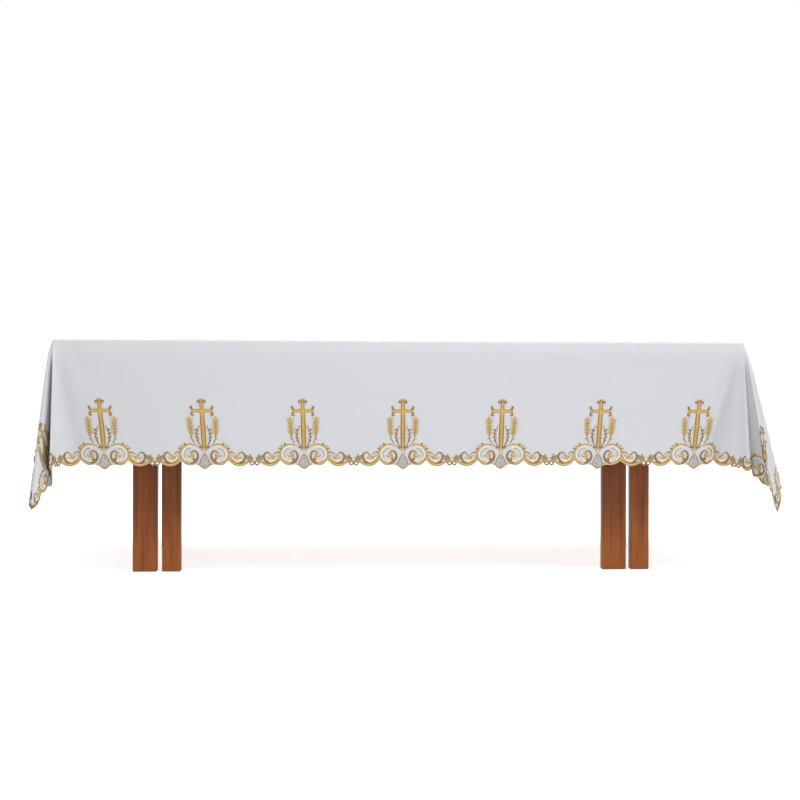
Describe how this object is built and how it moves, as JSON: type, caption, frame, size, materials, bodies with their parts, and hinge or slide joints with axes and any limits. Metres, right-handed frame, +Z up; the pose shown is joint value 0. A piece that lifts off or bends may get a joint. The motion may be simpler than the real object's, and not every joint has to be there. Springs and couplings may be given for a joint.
{
  "type": "altar frontal cloth on a wooden table",
  "caption": "White altar cloth with a gold embroidered scalloped border, draped over a plain wooden table on upright posts, with folds that fan out at the corners.",
  "frame": {"origin": "on the floor, under the middle of the whole, cloth and table", "axes": "+Z up, +X along the table's long side, the front drop faces -Y"},
  "size_m": [2.5212, 1.2098, 0.7643],
  "materials": {
    "cloth": "plain woven white cloth with gold and cream embroidery",
    "board": "plain board, hidden under the cloth",
    "timber": "oiled reddish brown timber, satin"
  },
  "bodies": {
    "root": {"altar_cloth": "cloth", "table_top": "board", "wide_post_front_left": "timber", "wide_post_front_right": "timber", "wide_post_back_left": "timber", "wide_post_back_right": "timber", "narrow_post_front_left": "timber", "narrow_post_front_right": "timber", "narrow_post_back_left": "timber", "narrow_post_back_right": "timber"}
  },
  "joints": []
}
